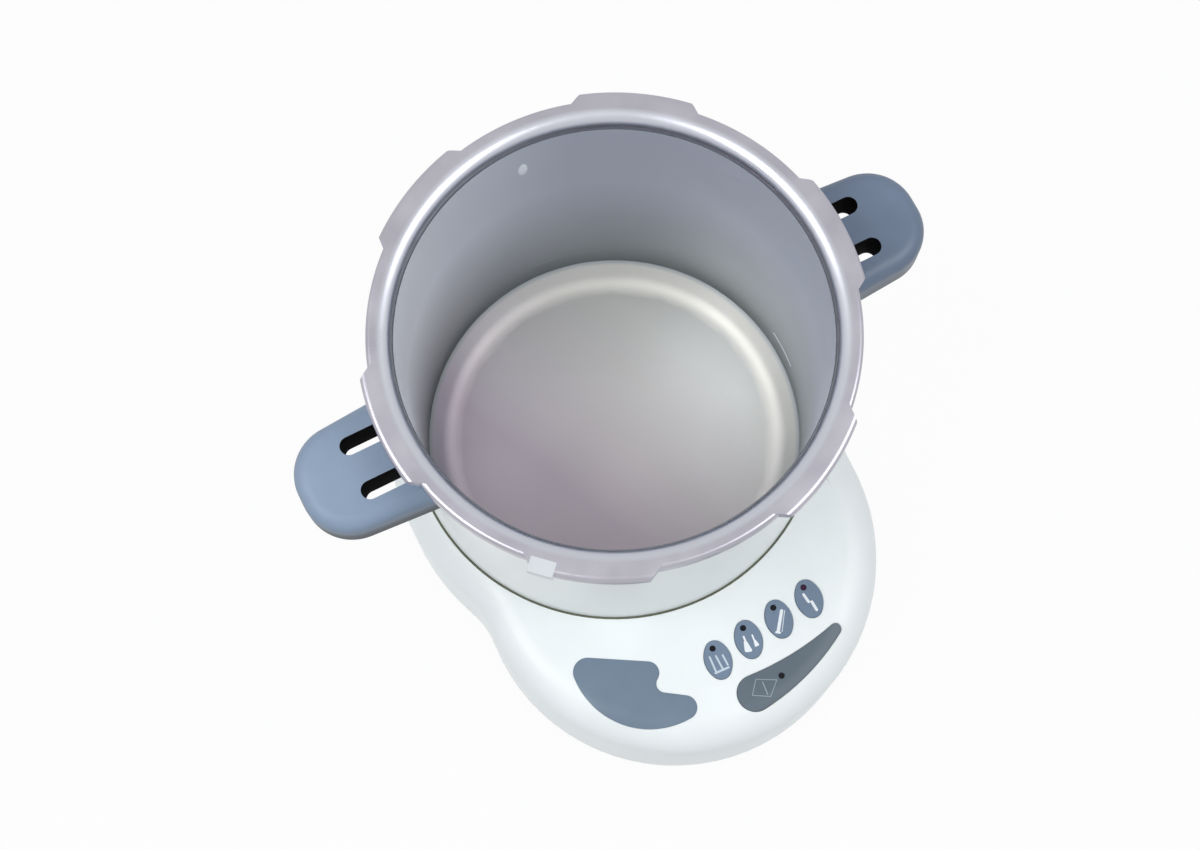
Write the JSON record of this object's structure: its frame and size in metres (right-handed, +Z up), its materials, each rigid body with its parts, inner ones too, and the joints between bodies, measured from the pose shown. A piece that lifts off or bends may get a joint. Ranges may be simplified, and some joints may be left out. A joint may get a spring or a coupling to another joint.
{
  "type": "tabletop autoclave",
  "caption": "Open pot steriliser body on a pear-shaped base: steel chamber with bayonet rim, white jacket, two slotted handles, row of oval program keys, start key, mains inlet.",
  "frame": {"origin": "on the table, under the vessel's axis", "axes": "+Z up along the vessel's axis, the key panel faces -Y, the handles reach out near +X and -X"},
  "size_m": [0.383, 0.3607, 0.268],
  "materials": {
    "chamber_vessel": "satin deep drawn stainless steel",
    "bayonet_rim": "satin turned aluminium",
    "lock_catch": "whitish moulded block",
    "insulation_sleeve": "mineral fibre felt",
    "jacket_shell": "smooth light grey coat",
    "base_cover": "white moulding with a soft sheen",
    "base_pan": "coated steel sheet",
    "feet": "dark grey rubber",
    "pan_screws": "zinc plated",
    "support_legs": "bent sheet steel",
    "leg_fasteners": "zinc plated",
    "heater_plate": "machined plate",
    "heating_element": "heat tinted sheath",
    "element_terminals": "glazed ceramic",
    "heat_shield": "bright pressed sheet",
    "shield_fasteners": "zinc plated",
    "temperature_probe": "drawn tube",
    "probe_clip": "milled block",
    "cutout_thermostat": "phenolic body",
    "handle_left": "blue grey moulding",
    "handle_right": "blue grey moulding",
    "handle_bracket_left": "welded steel",
    "handle_bracket_right": "welded steel",
    "handle_screws_left": "zinc plated",
    "handle_screws_right": "zinc plated",
    "control_board": "green lacquered board",
    "key_switches": "black switch bodies",
    "light_pipes": "dark clear rods",
    "board_screws": "zinc plated",
    "key_program_1": "blue grey key with a white picture",
    "key_program_2": "blue grey key with a white picture",
    "key_program_3": "blue grey key with a white picture",
    "key_program_4": "blue grey key with a white picture",
    "key_start": "grey key with a pale picture",
    "badge_inlay": "blue grey inlay without print",
    "power_board": "green lacquered board",
    "board_parts": "black components",
    "power_posts": "turned posts",
    "mains_inlet": "black moulding",
    "inlet_pins": "nickel plated",
    "fuse_drawer": "black moulding",
    "switch_bezel": "black moulding",
    "rocker": "black moulding",
    "panel_screws": "zinc plated"
  },
  "bodies": {
    "autoclave": {"chamber_vessel": "chamber_vessel", "bayonet_rim": "bayonet_rim", "lock_catch": "lock_catch", "insulation_sleeve": "insulation_sleeve", "jacket_shell": "jacket_shell", "base_cover": "base_cover", "base_pan": "base_pan", "feet": "feet", "pan_screws": "pan_screws", "support_legs": "support_legs", "leg_fasteners": "leg_fasteners", "heater_plate": "heater_plate", "heating_element": "heating_element", "element_terminals": "element_terminals", "heat_shield": "heat_shield", "shield_fasteners": "shield_fasteners", "temperature_probe": "temperature_probe", "probe_clip": "probe_clip", "cutout_thermostat": "cutout_thermostat", "handle_left": "handle_left", "handle_right": "handle_right", "handle_bracket_left": "handle_bracket_left", "handle_bracket_right": "handle_bracket_right", "handle_screws_left": "handle_screws_left", "handle_screws_right": "handle_screws_right", "control_board": "control_board", "key_switches": "key_switches", "light_pipes": "light_pipes", "board_screws": "board_screws", "badge_inlay": "badge_inlay", "power_board": "power_board", "board_parts": "board_parts", "power_posts": "power_posts", "mains_inlet": "mains_inlet", "inlet_pins": "inlet_pins", "switch_bezel": "switch_bezel", "panel_screws": "panel_screws"},
    "key_program_1": {"key_program_1": "key_program_1"},
    "key_program_2": {"key_program_2": "key_program_2"},
    "key_program_3": {"key_program_3": "key_program_3"},
    "key_program_4": {"key_program_4": "key_program_4"},
    "key_start": {"key_start": "key_start"},
    "fuse_drawer": {"fuse_drawer": "fuse_drawer"},
    "rocker": {"rocker": "rocker"}
  },
  "joints": [
    {"name": "key_program_1_press", "type": "slide", "parent": "autoclave", "child": "key_program_1", "axis": [0, 0, -1], "range_m": [0, 0.0008], "stiffness_N_per_m": 700, "springref_m": -0.002},
    {"name": "key_program_2_press", "type": "slide", "parent": "autoclave", "child": "key_program_2", "axis": [0, 0, -1], "range_m": [0, 0.0008], "stiffness_N_per_m": 700, "springref_m": -0.002},
    {"name": "key_program_3_press", "type": "slide", "parent": "autoclave", "child": "key_program_3", "axis": [0, 0, -1], "range_m": [0, 0.0008], "stiffness_N_per_m": 700, "springref_m": -0.002},
    {"name": "key_program_4_press", "type": "slide", "parent": "autoclave", "child": "key_program_4", "axis": [0, 0, -1], "range_m": [0, 0.0008], "stiffness_N_per_m": 700, "springref_m": -0.002},
    {"name": "key_start_press", "type": "slide", "parent": "autoclave", "child": "key_start", "axis": [0, 0, -1], "range_m": [0, 0.0008], "stiffness_N_per_m": 900, "springref_m": -0.002},
    {"name": "fuse_drawer_slide", "type": "slide", "parent": "autoclave", "child": "fuse_drawer", "axis": [0.9659, -0.2588, 0], "range_m": [0, 0.016]},
    {"name": "rocker_tilt", "type": "hinge", "parent": "autoclave", "child": "rocker", "pos_m": [0.11774, -0.09977, 0.041], "axis": [0.2588, 0.9659, 0], "range_deg": [-14, 0]}
  ]
}
